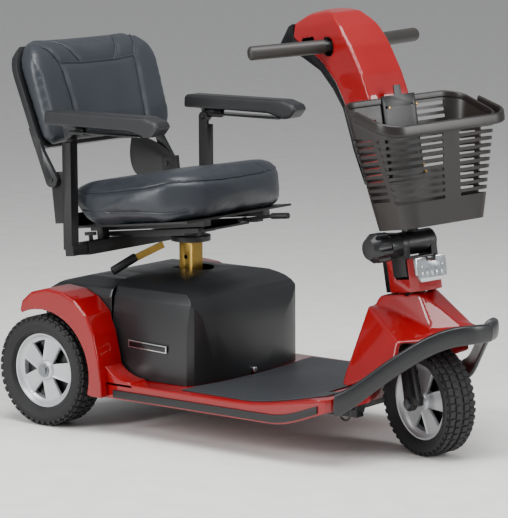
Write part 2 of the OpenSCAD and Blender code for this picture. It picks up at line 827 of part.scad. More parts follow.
module basket() {
  color("#2c2826") steered() difference() {
    basket_solid(0);
    translate([0, 0, 0.2]) basket_solid(3);
    above_rim();
    slot_row(9, 560, 15) {
      for (v = [-70, 20]) box([100, v, 0], [300, v + 50, 6]);
      both_sides() box([58, 60, 0], [128, 300, 6]);
    }
    slot_row(8, 600, 18) box([0, 60, 0], [60, 112, 6]);
    slot_row(8, 600, 18) box([0, -112, 0], [60, -60, 6]);
    for (v = [-34, 34]) for (w = [620, 760]) translate([0, v, w]) rotate([0, 90, 0]) cylinder(r = 2.6, h = 60);
  }
}

handle_pivot = [92, 744];

module handle_frame() {
  translate([handle_pivot[0], 0, handle_pivot[1]]) rotate([0, 22, 0]) children();
}

module basket_handle() {
  color("#2c2826") steered() handle_frame() difference() {
    translate([0, 0, -12]) linear_extrude(24) polygon(rounded(-160, -174, 112, 174, 54));
    translate([0, 0, -20]) linear_extrude(40) polygon(rounded(-170, -168, 105, 168, 50));
    box([-300, -300, -40], [-12, 300, 40]);
  }
}

// ---------- seat ----------

module seat_post() {
  color(gold) difference() {
    union() {
      translate([seat_x - post_side / 2, -post_side / 2, 150]) cube([post_side, post_side, 262]);
      translate([seat_x, 0, 412]) cylinder(r = 14, h = 22);
    }
    translate([seat_x - post_side / 2 + 3, -post_side / 2 + 3, 140]) cube([post_side - 6, post_side - 6, 262]);
    for (z = [200:35:375]) across(seat_x, z, 5, -40, 40);
  }
}

module swivel_base() {
  color(gloss_black) union() {
    difference() {
      union() {
        translate([seat_x, 0, 412.3]) cylinder(r = 46, h = 12);
        translate([seat_x, 0, 412.3]) cylinder(r = 26, h = 26);
      }
      translate([seat_x, 0, 400]) cylinder(r = 14 + running, h = 36);
    }
    seated() difference() {
      union() {
        box([-78, -118, -6], [78, 118, -1]);
        both_sides() box([-170, 98, -1], [120, 118, 9]);
      }
      translate([0, 0, -40]) cylinder(r = 27, h = 60);
    }
    difference() {
      translate([seat_x, 0, 420]) cylinder(r = 34, h = 16);
      translate([seat_x, 0, 400]) cylinder(r = 14 + running, h = 37);
      translate([seat_x, 0, 434]) rotate([0, -seat_tilt, 0]) translate([-100, -100, 0]) cube([200, 200, 40]);
    }
  }
}

swivel_pivot = [-284, -46, 414];

module swivel_lever() {
  tip = [-346, -150, 350];
  color(gold) union() {
    difference() {
      bar(swivel_pivot + [0, 0, -10], swivel_pivot + ([-346, -150, 350] - swivel_pivot) * 0.7, 16, 4);
      box([-300, -60, 410], [-200, 0, 440]);
    }
    rod(swivel_pivot + (tip - swivel_pivot) * 0.55, tip, 9);
  }
}

module seat_pan() {
  color(gloss_black) seated() difference() {
    union() {
      box([-196, -190, 26], [150, 190, 31]);
      both_sides() box([-200, 96, 12.5], [140, 120, 26]);
      both_sides() box([-230, 192, 40], [-186, 204, 158]);
      both_sides() box([-196, 120, 31], [-182, 204, 60]);
      box([-164, -204, -34], [-134, 204, -4]);
      both_sides() box([-158, 124, -6], [-140, 146, 27]);
    }
    both_sides() box([-300, 98, 0], [300, 118.4, 12.4]);
    box([-161.1, -300, -31.1], [-136.9, 300, -6.9]);
    across(-219, 142, 6 + running, -260, 260);
  }
}

module seat_cushion() {
  color(vinyl) seated() intersection() {
    side_profile([[-196, 112], [-180, 96], [-116, 34], [120, 32], [158, 38], [176, 58], [182, 84], [172, 110],
      [150, 128], [100, 136], [0, 130], [-120, 126], [-180, 122]], -240, 240);
    plan_profile(mirrored([[182, 0], [178, 70], [166, 130], [140, 176], [100, 208], [40, 224], [-60, 226],
      [-150, 222], [-180, 198], [-196, 170], [-196, 0]]), 0, 200);
    front_profile([[-226, 60], [-200, 32], [200, 32], [226, 60], [228, 90], [218, 118], [180, 134], [0, 138],
      [-180, 134], [-218, 118], [-228, 90]], -300, 300);
  }
}

module slide_lever() {
  color(gloss_black) seated() union() {
    rod([120, 42, 10], [205, 44, 16], 4);
    rod([205, 44, 16], [250, 46, 15], 7);
    across(120, 10, 6, 30, 54);
  }
}

back_hinge = [-219, 142];

// The frame of the backrest: x out of its front, z up along it, from its hinge.
module reclined() {
  seated() translate([back_hinge[0], 0, back_hinge[1]]) rotate([0, seat_tilt - back_lean, 0]) children();
}

// Front outline of the backrest, in [y, z]: large round corners at the top and small ones below.
back_outline = concat(arc(139, 252, 82, 0, 90, 8), arc(-139, 252, 82, 90, 180, 8),
  arc(-185, 110, 36, 180, 270, 5), arc(185, 110, 36, 270, 360, 5));

module back_frame() {
  color(black) reclined() union() {
    both_sides() {
      side_profile(concat(arc(0, 0, 18, 170, 350, 14), [[2, 68], [1, 112], [-19, 112]]), 206, 216);
      box([-19, 180, 84], [-3, 216.5, 130]);
      across(0, 0, 6, 190, 219);
    }
    intersection() {
      side_profile([[-12, 75], [-12, 296], [0, 318], [4, 318], [4, 75]], -240, 240);
      front_profile(back_outline, -100, 100);
    }
  }
}

module back_cushion() {
  color(vinyl) reclined() intersection() {
    side_profile([[4.2, 76], [12, 72], [33, 84], [43, 130], [53, 240], [50, 290], [32, 322], [10, 334],
      [4.2, 334]], -240, 240);
    front_profile(back_outline, -100, 100);
  }
}

// ---------- armrests, the left one; the right one is its mirror image ----------

arm_y = arm_spacing / 2;
arm_post_x = -390;
arm_pivot = [-396, 668];

module armrest_frame() {
  color(gloss_black) difference() {
    union() {
      seated() box([-160.9, 60, -30.9], [-137.1, arm_y + 12, -7.1]);
      box([arm_post_x - 13, arm_y - 12, 406], [arm_post_x + 12, arm_y + 12, 664]);
      across(arm_pivot[0] + 6, arm_pivot[1], 13, arm_y - 12, arm_y - 4);
    }
    across(arm_pivot[0] + 6, arm_pivot[1], 5 + running, 100, 300);
    box([-500, arm_y - 4.2, 650], [-300, 300, 700]);
    for (y = [72, 84]) seated() translate([-149, y, -50]) cylinder(r = 3, h = 60);
  }
}

module armrest_pad() {
  px = arm_pivot[0] + 6;
  color(black) union() {
    side_profile([[-444, 689], [-442, 714], [-434, 721], [-150, 722], [-116, 712], [-108, 700], [-126, 680],
      [-146, 676], [-190, 688], [-300, 689]], arm_y - 20, arm_y + 28);
    box([px - 12, arm_y - 3.8, 668], [px + 50, arm_y + 10, 690]);
    across(px, arm_pivot[1], 12, arm_y - 3.8, arm_y + 10);
    across(px, arm_pivot[1], 5, arm_y - 16, arm_y);
  }
}

module armrest_knob() {
  color(black) seated() union() {
    translate([-149, 178, -3.8]) cylinder(r = 5, h = 12);
    hull() {
      translate([-162, 178, 8]) cylinder(r = 4, h = 8, $fn = 24);
      translate([-136, 178, 8]) cylinder(r = 4, h = 8, $fn = 24);
    }
  }
}

module armrest_frame_left() {
  armrest_frame();
}

module armrest_frame_right() {
  mirror([0, 1, 0]) armrest_frame();
}

module armrest_pad_left() {
  armrest_pad();
}

module armrest_pad_right() {
  mirror([0, 1, 0]) armrest_pad();
}

module armrest_knob_left() {
  armrest_knob();
}

module armrest_knob_right() {
  mirror([0, 1, 0]) armrest_knob();
}

main_frame();
floor_pan();
floor_mat();
front_shroud();
front_bumper();
side_strips();
battery_cover();
rear_shroud();
rear_fenders();
battery_pack();
controller();
transaxle();
drive_motor();
seat_tower();
tail_lights();
steering_bearings();
freewheel_lever();
fork();
front_axle();
column_cover();
column_back_cover();
headlight_housing();
headlight_lens();
front_rim();
front_tyre();
front_bearings();
rear_rim_right();
rear_rim_left();
rear_tyre_right();
rear_tyre_left();
axle_shaft_right();
axle_shaft_left();
tiller_tube();
tiller_cover();
tiller_back_cover();
console();
handlebar();
grips();
basket_bracket();
tilt_knob();
basket();
basket_handle();
speed_dial();
ignition_key();
horn_button();
throttle_lever();
seat_post();
swivel_base();
swivel_lever();
seat_pan();
seat_cushion();
slide_lever();
back_frame();
back_cushion();
armrest_frame_right();
armrest_frame_left();
armrest_pad_right();
armrest_pad_left();
armrest_knob_right();
armrest_knob_left();
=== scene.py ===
import json
import math

import bpy
from mathutils import Matrix, Vector
from mathutils.bvhtree import BVHTree


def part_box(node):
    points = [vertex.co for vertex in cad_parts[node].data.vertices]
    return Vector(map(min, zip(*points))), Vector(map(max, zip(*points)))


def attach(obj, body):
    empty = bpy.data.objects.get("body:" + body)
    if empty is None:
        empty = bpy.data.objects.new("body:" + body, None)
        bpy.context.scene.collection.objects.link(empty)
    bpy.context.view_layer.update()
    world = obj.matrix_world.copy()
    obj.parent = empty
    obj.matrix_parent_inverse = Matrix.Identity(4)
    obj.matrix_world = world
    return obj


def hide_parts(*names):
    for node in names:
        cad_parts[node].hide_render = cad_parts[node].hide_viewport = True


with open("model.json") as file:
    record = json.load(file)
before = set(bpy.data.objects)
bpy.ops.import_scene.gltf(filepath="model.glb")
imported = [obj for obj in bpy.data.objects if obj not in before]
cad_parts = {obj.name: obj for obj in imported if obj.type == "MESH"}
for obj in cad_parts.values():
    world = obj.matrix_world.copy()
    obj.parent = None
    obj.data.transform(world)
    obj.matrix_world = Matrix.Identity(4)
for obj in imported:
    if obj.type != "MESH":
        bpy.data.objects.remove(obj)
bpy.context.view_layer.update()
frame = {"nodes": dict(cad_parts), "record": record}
record = frame["record"]
body_of = {node: body for body, nodes in record["behaviour"]["bodies"].items() for node in nodes}
slot_of = {part["node"]: part["material_slot"] for part in record["subparts"]}


# ---------- camera ----------

# It stands 6 m away at chest height, ahead and to the rider's right, and looks slightly down.
turn, dip, roll = math.radians(38.097), math.radians(8.784), math.radians(-0.293)
far, high, aside = 6.0004, 1.3118, -0.056
focal_ratio = 2689.52 / 518  # focal length over the view's longer side
forward = Vector((-math.sin(turn) * math.cos(dip), math.cos(turn) * math.cos(dip), -math.sin(dip)))
level = forward.cross(Vector((0, 0, 1))).normalized()
rise = level.cross(forward)
right = level * math.cos(roll) + rise * math.sin(roll)
up = rise * math.cos(roll) - level * math.sin(roll)
camera = bpy.data.objects.new("camera", bpy.data.cameras.new("camera"))
bpy.context.scene.collection.objects.link(camera)
camera.data.sensor_width = 36
camera.data.lens = focal_ratio * camera.data.sensor_width
stand = Matrix.Translation((far * math.sin(turn) + aside, -far * math.cos(turn), high))
camera.matrix_world = stand @ Matrix((right, up, -forward)).transposed().to_4x4()
bpy.context.scene.camera = camera


# ---------- frames of the turned parts, the same as in the CAD source ----------

def mm(*values):
    """A point or size given in mm, in metres."""
    return Vector([v / 1000 for v in values])


axle_height = 127
steering = Matrix.Translation(mm(445, 0, 0)) @ Matrix.Rotation(math.radians(-9.2), 4, "Y") @ \
    Matrix.Rotation(math.radians(-18), 4, "Z")
seat_frame = Matrix.Translation(mm(-240, 0, 440)) @ Matrix.Rotation(math.radians(-6.5), 4, "Y")
back_frame = Matrix.Translation(mm(-473.7, 0, 556.3)) @ Matrix.Rotation(math.radians(-22), 4, "Y")
front_wheel = steering @ Matrix.Translation(mm(-4, 0, 122.7)) @ Matrix.Rotation(math.radians(90), 4, "X")
rear_wheel = {side: Matrix.Translation(mm(-448, side * 254, axle_height)) @
              Matrix.Rotation(math.radians(-side * 90), 4, "X") for side in (-1, 1)}


# ---------- materials ----------

def linear(code):
    """An sRGB hex code as a linear colour."""
    parts = [int(code[i:i + 2], 16) / 255 for i in (0, 2, 4)]
    return [c / 12.92 if c <= 0.04045 else ((c + 0.055) / 1.055) ** 2.4 for c in parts] + [1]


def add(tree, kind, links=(), **values):
    """A shader node of that kind; links are (input name, output socket), values go to inputs or to the node."""
    node = tree.nodes.new("ShaderNode" + kind)
    for key, value in values.items():
        name = key.replace("_", " ")
        if name in node.inputs:
            node.inputs[name].default_value = value
        else:
            setattr(node, key, value)
    for name, socket in links:
        tree.links.new(socket, node.inputs[name])
    return node


def finish(name, colour, rough, metal=0.0, coat=0.0, grain=0.002, depth=0.0, vary=0.06, shade=0.85, cells=False,
           **more):
    """grain is the size in metres of the surface's texture, depth its height, vary the swing in roughness
    and shade how much darker the low spots are."""
    material = bpy.data.materials.new(name)
    material.use_nodes = True
    tree = material.node_tree
    tree.nodes.clear()
    place = add(tree, "TexCoord").outputs["Object"]
    if cells:
        fine = add(tree, "TexVoronoi", [("Vector", place)], Scale=1 / grain).outputs["Distance"]
    else:
        fine = add(tree, "TexNoise", [("Vector", place)], Scale=1 / grain, Detail=3.0).outputs["Fac"]
    broad = add(tree, "TexNoise", [("Vector", place)], Scale=14.0, Detail=2.0).outputs["Fac"]
    tint = add(tree, "MixRGB", [("Fac", broad)], Color1=[c * shade for c in linear(colour)[:3]] + [1],
               Color2=linear(colour))
    swing = add(tree, "MapRange", [("Value", broad)], To_Min=max(rough - vary, 0.02), To_Max=rough + vary)
    looks = [("Base Color", tint.outputs["Color"]), ("Roughness", swing.outputs["Result"])]
    shader = add(tree, "BsdfPrincipled", looks, Metallic=metal, Coat_Weight=coat, Coat_Roughness=0.04, **more)
    if depth:
        bump = add(tree, "Bump", [("Height", fine)], Strength=1.0, Distance=depth)
        tree.links.new(bump.outputs["Normal"], shader.inputs["Normal"])
    add(tree, "OutputMaterial", [("Surface", shader.outputs["BSDF"])])
    return material


finishes = {
    # black powder coat, fine orange peel
    "frame_black": finish("black powder coat", "141415", 0.42, grain=0.0015, depth=0.00004),
    # candy apple red lacquer over moulded ABS
    "red_shell": finish("candy red lacquer", "8E0007", 0.36, coat=0.8, grain=0.01, vary=0.03, shade=0.8,
                        Specular_IOR_Level=0.25),
    # textured black moulded plastic
    "black_shell": finish("textured black plastic", "1D1E20", 0.34, grain=0.0008, depth=0.00005),
    # glossy black plastic
    "gloss_black": finish("gloss black plastic", "0E0E10", 0.24, grain=0.004),
    # ribbed grey-black rubber mat
    "mat_rubber": finish("mat rubber", "2B2D31", 0.55, grain=0.0022, depth=0.00012, cells=True),
    # soft black rubber trim
    "strip_rubber": finish("trim rubber", "131314", 0.5, grain=0.001, depth=0.00003),
    # black tyre rubber
    "tyre": finish("tyre rubber", "1A1A1B", 0.72, grain=0.0012, depth=0.00006),
    # silver paint on cast alloy
    "rim_silver": finish("silver wheel paint", "C9CBCE", 0.36, metal=0.5, grain=0.0006, depth=0.00001),
    # turned steel
    "steel": finish("turned steel", "8D9094", 0.3, metal=1.0, grain=0.0008, depth=0.00001),
    # sand-cast aluminium
    "cast": finish("cast aluminium", "85888B", 0.5, metal=0.9, grain=0.0015, depth=0.0001),
    # black enamelled motor case
    "motor": finish("motor enamel", "17181A", 0.35, grain=0.002, depth=0.00003),
    # dark grey battery case plastic; the grey base is partly the plastic's own colour and partly a painted
    # sheen, lightened to stand for the soft grey reflections on the cover
    "battery_case": finish("battery case plastic with painted sheen", "25262A", 0.5, grain=0.0015, depth=0.00004),
    # anodised controller case
    "controller": finish("anodised aluminium", "6F7276", 0.4, metal=0.9, grain=0.001, depth=0.00002),
    # red tail-light lens
    "tail_lens": finish("red lens", "7A0A0C", 0.12, coat=0.6, grain=0.006),
    # chromed headlight bezel
    "lamp_silver": finish("lamp silver", "C4C6C8", 0.2, metal=0.9, grain=0.004),
    # clear headlight lens
    "lamp_lens": finish("clear lens", "E4EAEE", 0.06, coat=0.5, grain=0.006, Transmission_Weight=0.7, IOR=1.49),
    # grey-brown satin rubber grip
    "grip": finish("grip rubber", "2B2826", 0.46, grain=0.0016, depth=0.00008),
    # dark brown-black basket plastic
    "basket_plastic": finish("basket plastic", "1E1A18", 0.38, grain=0.001, depth=0.00003),
    # yellow zinc plating
    "zinc_gold": finish("yellow zinc plating", "A98A45", 0.32, metal=0.95, grain=0.003, shade=0.7),
    # charcoal seat vinyl with a leather grain
    "vinyl": finish("charcoal vinyl", "2C3036", 0.4, grain=0.0032, depth=0.0002, cells=True, vary=0.08),
    # black armrest vinyl
    "pad_vinyl": finish("armrest vinyl", "1D1E21", 0.42, grain=0.0028, depth=0.00014, cells=True),
    # yellow horn button
    "yellow": finish("yellow plastic", "C9B21A", 0.35, grain=0.003),
    # chrome plating
    "chrome": finish("chrome plating", "C9CCD0", 0.1, metal=1.0, grain=0.004),
    # lacquered brass screw
    "brass": finish("brass", "A88544", 0.3, metal=0.95, grain=0.002),
    # blank white label
    "label": finish("white label", "D8D9D6", 0.4, grain=0.004),
}
for node, cad_mesh in frame["nodes"].items():
    cad_mesh.data.materials.clear()
    cad_mesh.data.materials.append(finishes[slot_of[node]])


# ---------- helpers for pieces ----------

def pick(piece):
    """Selects the piece alone."""
    bpy.ops.object.select_all(action="DESELECT")
    piece.select_set(True)
    bpy.context.view_layer.objects.active = piece
    return piece


def settle(piece):
    """Moves the piece's place into its vertices."""
    pick(piece)
    bpy.ops.object.transform_apply(location=True, rotation=True, scale=True)
    return piece


def moved(piece, place):
    """Moves the piece by the matrix place, in its mesh."""
    piece.matrix_world = place
    return settle(piece)


def modify(piece, kind, **values):
    """Adds a modifier with those settings and applies it."""
    modifier = piece.modifiers.new(kind.lower(), kind)
    for key, value in values.items():
        setattr(modifier, key, value)
    pick(piece)
    bpy.ops.object.modifier_apply(modifier=modifier.name)
    return piece


def smooth(piece, angle=35):
    pick(piece)
    bpy.ops.object.shade_smooth_by_angle(angle=math.radians(angle))
    return piece


def finish_piece(piece, name, body, material, angle=35):
    """Gives the piece its name, finish and shading, and puts it on its body."""
    piece.name = piece.data.name = name
    piece.data.materials.clear()
    piece.data.materials.append(finishes[material])
    smooth(piece, angle)
    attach(piece, body)
    return piece


def outward(piece):
    """Turns every face of a closed piece outwards."""
    pick(piece)
    bpy.ops.object.mode_set(mode="EDIT")
    bpy.ops.mesh.select_all(action="SELECT")
    bpy.ops.mesh.normals_make_consistent(inside=False)
    bpy.ops.object.mode_set(mode="OBJECT")
    return piece


def deselected(piece):
    """Picks the piece with nothing selected in its mesh."""
    pick(piece)
    bpy.ops.object.mode_set(mode="EDIT")
    bpy.ops.mesh.select_all(action="DESELECT")
    bpy.ops.object.mode_set(mode="OBJECT")


def placed(thing, name):
    """A new object in the scene from a mesh or a curve."""
    piece = bpy.data.objects.new(name, thing)
    bpy.context.scene.collection.objects.link(piece)
    return piece


def merged_copy(node, flat=1.5):
    """The node's surface as one closed mesh; faces within flat degrees of each other become one."""
    piece = pick(placed(frame["nodes"][node].data.copy(), node + "_copy"))
    bpy.ops.object.mode_set(mode="EDIT")
    bpy.ops.mesh.select_all(action="SELECT")
    bpy.ops.mesh.remove_doubles(threshold=0.00002)
    if flat:
        bpy.ops.mesh.dissolve_limited(angle_limit=math.radians(flat))
    bpy.ops.object.mode_set(mode="OBJECT")
    return outward(piece)


def softened(node, radius, angle=28, segments=3):
    """The node with its sharp edges rounded, standing for it."""
    piece = merged_copy(node)
    modify(piece, "BEVEL", width=radius, segments=segments, limit_method="ANGLE",
           angle_limit=math.radians(angle), use_clamp_overlap=True, harden_normals=False)
    finish_piece(piece, node + "_shell", body_of[node], slot_of[node], 40)
    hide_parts(node)


def moulded(node, voxel, passes, keep=1.0, thicken=0.0):
    """The node as one smooth moulding: its facets and creases are rounded over a few mm. keep is the share of
    faces left at the end, and thicken helps a thin wall through the remesh."""
    piece = merged_copy(node, flat=0)
    if thicken:
        modify(piece, "DISPLACE", strength=thicken, mid_level=0)
    modify(piece, "REMESH", mode="VOXEL", voxel_size=voxel, use_smooth_shade=True)
    modify(piece, "SMOOTH", factor=0.5, iterations=passes)
    if keep < 1:
        modify(piece, "DECIMATE", ratio=keep)
    finish_piece(piece, node + "_moulding", body_of[node], slot_of[node], 50)
    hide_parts(node)
    return piece


def skinned(name, sections, capped=True):
    """A skin bridged through closed sections, each a list of points in metres, with closed ends."""
    count = len(sections[0])
    edges = [(start + i, start + (i + 1) % count) for start in range(0, len(sections) * count, count)
             for i in range(count)]
    mesh = bpy.data.meshes.new(name)
    mesh.from_pydata([p for section in sections for p in section], edges, [])
    piece = pick(placed(mesh, name))
    bpy.ops.object.mode_set(mode="EDIT")
    bpy.ops.mesh.select_all(action="SELECT")
    bpy.ops.mesh.bridge_edge_loops()
    if capped:
        bpy.ops.mesh.select_all(action="DESELECT")
        bpy.ops.mesh.select_mode(type="VERT")
        bpy.ops.mesh.select_non_manifold()
        bpy.ops.mesh.edge_face_add()
    bpy.ops.object.mode_set(mode="OBJECT")
    return outward(piece)


def eased(points, steps=6):
    """A smooth line (Catmull-Rom) through the points, in mm."""
    found = []
    for i in range(len(points) - 1):
        a, b, c, d = (Vector(points[min(max(k, 0), len(points) - 1)]) for k in (i - 1, i, i + 1, i + 2))
        for k in range(steps):
            t = k / steps
            found.append(0.5 * (2 * b + (c - a) * t + (2 * a - 5 * b + 4 * c - d) * t ** 2
                                + (3 * b - a - 3 * c + d) * t ** 3))
    return found + [Vector(points[-1])]


def block(name, size, place, bevel=0.0, segments=3):
    """A rounded box; size in mm, place a matrix or a point in metres."""
    bpy.ops.mesh.primitive_cube_add(size=1)
    piece = bpy.context.object
    piece.scale = mm(*size)
    settle(piece)
    if bevel:
        modify(piece, "BEVEL", width=bevel / 1000, segments=segments)
    piece.matrix_world = place if isinstance(place, Matrix) else Matrix.Translation(place)
    settle(piece)
    piece.name = name
    return piece


def disc(name, radius, depth, place, bevel=0.0, sides=40):
    """A rounded short cylinder; sizes in mm."""
    bpy.ops.mesh.primitive_cylinder_add(vertices=sides, radius=radius / 1000, depth=depth / 1000)
    piece = bpy.context.object
    if bevel:
        modify(piece, "BEVEL", width=bevel / 1000, segments=2, limit_method="ANGLE")
    piece.matrix_world = place if isinstance(place, Matrix) else Matrix.Translation(place)
    settle(piece)
    piece.name = name
    return piece


def joined(pieces):
    """The pieces as one object."""
    pick(pieces[0])
    for piece in pieces:
        piece.select_set(True)
    bpy.ops.object.join()
    return bpy.context.object


def turned(name, outline, steps=96, place=Matrix.Identity(4)):
    """A round piece: outline is [radius, height] in mm, spun about Z."""
    mesh = bpy.data.meshes.new(name)
    mesh.from_pydata([mm(r, 0, z) for r, z in outline], [(i, i + 1) for i in range(len(outline) - 1)], [])
    piece = pick(placed(mesh, name))
    bpy.ops.object.mode_set(mode="EDIT")
    bpy.ops.mesh.select_all(action="SELECT")
    bpy.ops.mesh.spin(steps=steps, angle=math.tau, center=(0, 0, 0), axis=(0, 0, 1), dupli=False)
    bpy.ops.mesh.select_all(action="SELECT")
    bpy.ops.mesh.remove_doubles(threshold=0.00001)
    bpy.ops.object.mode_set(mode="OBJECT")
    return moved(outward(piece), place)


def again(piece, place, name):
    """Another of the same piece, with its own mesh, moved by the matrix place."""
    return moved(placed(piece.data.copy(), name), place)


def ring_of(piece, count, name):
    """count of the piece around Z, as one mesh."""
    twins = [again(piece, Matrix.Rotation(math.tau * i / count, 4, "Z"), f"{name}{i}") for i in range(count)]
    bpy.data.objects.remove(piece)
    return joined(twins)


def swept(name, points, closed=False, **profile):
    """A solid along the points, in metres, as a mesh; profile holds the curve's settings for its section."""
    curve = bpy.data.curves.new(name, "CURVE")
    curve.dimensions, curve.use_fill_caps = "3D", True
    for key, value in profile.items():
        setattr(curve, key, value)
    line = curve.splines.new("POLY")
    line.points.add(len(points) - 1)
    for spot, point in zip(line.points, points):
        spot.co = (*point, 1)
    line.use_cyclic_u = closed
    pick(placed(curve, name))
    bpy.ops.object.convert(target="MESH")
    return bpy.context.object


# ---------- wheels ----------

blocks_round, spoke_count = 44, 5


def tread_tyre(name, r, w, place, body, node):
    """A tyre of radius r and width w, with a centre groove, shoulder blocks and a raised sidewall ring."""
    h = w / 2
    # From the bead inside the rim, out over the sidewall ring to the groove; the other half mirrors it.
    half = [(79, -20), (86, -20), (86, -27), (92, -h + 3), (104, -h + 0.4), (106, -h - 0.6), (109, -h - 0.6),
            (111, -h + 0.4), (r - 12, -h + 1), (r - 7, -h + 4), (r - 5, -h + 9), (r - 4, -h + 15),
            (r - 3.4, -6)]
    carcass = turned(name, half + [(radius, -z) for radius, z in reversed(half)] + half[:1])
    blocks = []
    for side in (-1, 1):
        inner = block("knob", (4.6, 13, 13), Matrix.Translation(mm(r - 2.4, 0, side * 10.5)), 0.8, 2)
        outer = block("knob", (4.6, 14, 13), Matrix.Translation(mm(r - 3.6, 5, side * (h - 11.5))) @
                      Matrix.Rotation(side * 0.14, 4, "Y"), 0.8, 2)
        shoulder = block("knob", (10, 9, 4), Matrix.Translation(mm(r - 9.5, 5, side * (h - 2.2))) @
                         Matrix.Rotation(side * -0.45, 4, "Y"), 0.8, 2)
        blocks += [ring_of(piece, blocks_round, "knob") for piece in (inner, outer, shoulder)]
    tyre = moved(joined([carcass] + blocks), place)
    finish_piece(tyre, name, body, "tyre", 38)
    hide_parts(node)


def spoked_rim(name, place, body, node):
    """A silver rim with five wide spokes, dark windows between them and a ringed hub cap."""
    barrel = turned("barrel", [
        (81, -25), (85, -26.5), (85.6, -24), (84, -20), (78, -17), (72, -10), (72, 8), (76, 12), (78.8, 19.4),
        (85.6, 20.2), (86, 24), (84.4, 26.2), (81.5, 25.6), (79, 21), (74, 16.5), (69, 14.5), (68, 6), (68, -10),
        (74, -18), (78, -23), (81, -25)])
    back = turned("back", [(0.1, 2), (70, 2), (70, -2), (0.1, -2), (0.1, 2)], 48)
    spoke = block("spoke", (46, 1, 9), Matrix.Identity(4))
    # Each spoke widens and drops from the hub to the barrel: distance out, half width and rise, in mm.
    at_barrel, at_hub = (73.5, 24.5, 12.5), (18, 14.5, 16.5)
    for v in spoke.data.vertices:
        reach, half_width, lift = mm(*(at_barrel if v.co.x > 0 else at_hub))
        v.co = (reach, math.copysign(half_width, v.co.y), v.co.z + lift)
    deselected(spoke)
    top = max(spoke.data.polygons, key=lambda f: f.normal.z)
    top.select = True
    bpy.ops.object.mode_set(mode="EDIT")
    bpy.ops.mesh.select_mode(type="FACE")
    bpy.ops.mesh.inset(thickness=0.0045)
    bpy.ops.transform.translate(value=(0, 0, -0.0022))
    bpy.ops.object.mode_set(mode="OBJECT")
    modify(spoke, "BEVEL", width=0.0013, segments=2, limit_method="ANGLE", angle_limit=math.radians(20))
    spokes = ring_of(spoke, spoke_count, "spoke")
    hub = turned("hub", [(0.1, 24), (9, 24), (10, 23), (11, 24.2), (15.5, 24.2), (16.5, 23), (17.5, 24),
                         (21, 23.6), (23.5, 21.5), (24.5, 18), (25, 2), (0.1, 2)], 48)
    rim = moved(joined([barrel, spokes, hub]), place)
    finish_piece(rim, name, body, "rim_silver")
    finish_piece(moved(back, place), name + "_backing", body, "gloss_black")
    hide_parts(node)


for wheel, body, place, r, w in (("front", "front_wheel", front_wheel, 120, 74),
                                 ("rear_right", "rear_wheel_right", rear_wheel[-1], axle_height, 76),
                                 ("rear_left", "rear_wheel_left", rear_wheel[1], axle_height, 76)):
    end, _, side = wheel.partition("_")
    tread_tyre(wheel + "_treaded_tyre", r, w, place, body, f"{end}_tyre_{side}".rstrip("_"))
    spoked_rim(wheel + "_spoked_rim", place, body, f"{end}_rim_{side}".rstrip("_"))


# ---------- moulded shells, with their hard edges rounded ----------

for node, radius in (("floor_pan", 0.004), ("side_strips", 0.0015), ("floor_mat", 0.001),
                     ("tiller_back_cover", 0.003), ("column_cover", 0.003), ("column_back_cover", 0.002),
                     ("headlight_housing", 0.0015),
                     ("console", 0.003), ("fork", 0.003), ("seat_pan", 0.003), ("back_frame", 0.003),
                     ("swivel_base", 0.0015), ("basket_bracket", 0.0015), ("tilt_knob", 0.0015),
                     ("main_frame", 0.0015), ("seat_post", 0.0015), ("armrest_frame_left", 0.002),
                     ("armrest_frame_right", 0.002), ("throttle_lever", 0.0015), ("transaxle", 0.002)):
    softened(node, radius)
moulded("front_shroud", 0.0024, 30, keep=0.5)
moulded("rear_fenders", 0.0016, 40, keep=0.25, thicken=0.0009)
moulded("tiller_cover", 0.0024, 34, keep=0.5)
softened("battery_cover", 0.014, angle=20, segments=5)
moulded("rear_shroud", 0.003, 14, keep=0.5)
for side, y in (("left", 0.247), ("right", -0.247)):
    node = "armrest_pad_" + side
    moulded(node, 0.003, 10)
    lip_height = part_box(node)[0].z + 0.0215
    lip = block("lip", (212, 50.6, 4), Matrix.Translation((-0.262, y, lip_height)), 1.8)
    finish_piece(lip, f"armrest_{side}_lip", body_of[node], "gloss_black")

# Red panel that sweeps from each fender's front edge down to the deck, as (x, z) in mm.
sweep = [(-303, 112), (-303, 232)]
for a in range(10, 91, 10):
    sweep.append((-303 + 96 * (1 - math.cos(math.radians(a))), 216 - 92 * math.sin(math.radians(a))))
sweep.append((-196, 112))
for side, word in ((-1, "right"), (1, "left")):
    panel = skinned("panel", [[mm(x, side * y, z) for x, z in sweep] for y in (207, 262)])
    modify(panel, "BEVEL", width=0.006, segments=3, limit_method="ANGLE", angle_limit=math.radians(50))
    finish_piece(panel, "fender_sweep_" + word, "chassis", "red_shell", 40)

# Wide curved plate behind the backrest's left hinge arm, as (x, z) in mm.
plate = [(-588, 614), (-594, 574), (-588, 540), (-568, 518), (-516, 512), (-456, 530), (-440, 548), (-444, 566),
         (-470, 582), (-492, 596), (-520, 606), (-552, 614)]
bracket = skinned("bracket", [[p / 1000 for p in eased([(x, y, z) for x, z in plate + plate[:1]], 3)[:-1]]
                              for y in (199, 204)])
modify(bracket, "BEVEL", width=0.0015, segments=2, limit_method="ANGLE", angle_limit=math.radians(50))
finish_piece(bracket, "backrest_side_plate", "backrest", "gloss_black", 40)


# ---------- front bumper, basket and its handle ----------

# The bumper's section: how far out (mm) and how high (in half heights) each corner lies.
bumper_section = [(-13, 0.9), (-4, 1.08), (3, 0.96), (5, 0.5), (5, -0.2), (3, -0.75), (-2, -1.05), (-9, -0.95),
                  (-10, -0.4), (-12, 0.4)]


